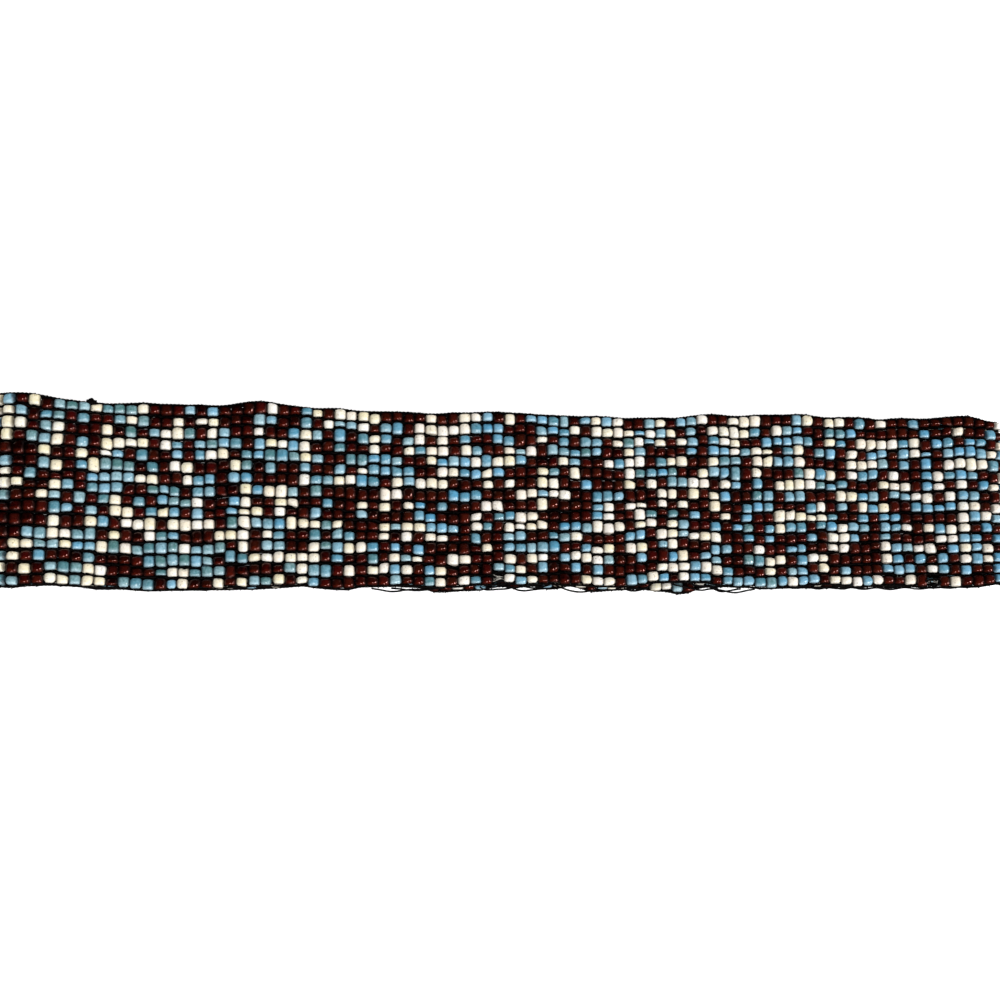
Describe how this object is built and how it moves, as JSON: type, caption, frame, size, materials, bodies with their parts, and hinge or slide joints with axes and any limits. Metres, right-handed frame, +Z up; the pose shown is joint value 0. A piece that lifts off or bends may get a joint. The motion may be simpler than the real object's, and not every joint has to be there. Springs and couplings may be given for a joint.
{
  "type": "beaded belt",
  "caption": "Stretch belt of loom-woven glass seed beads in cream, blue and oxblood on black thread, a closed loop laid flat between two end folds.",
  "frame": {"origin": "on the ground, under the middle of the belt as it lies flat", "axes": "+X along the belt, from its left fold to its right fold in the picture; +Y across the band, towards the edge with the tie knot; +Z up, through the thickness"},
  "size_m": [0.3264, 0.0612, 0.0154],
  "materials": {
    "bead_glass": "opaque glossy glass seed beads, cream, blue and oxblood in a random mix",
    "black_thread": "matt black twisted nylon beading thread"
  },
  "bodies": {
    "root": {"bead_band": "bead_glass", "upper_edge_thread": "black_thread", "lower_edge_thread": "black_thread", "tie_knot": "black_thread"}
  },
  "joints": []
}
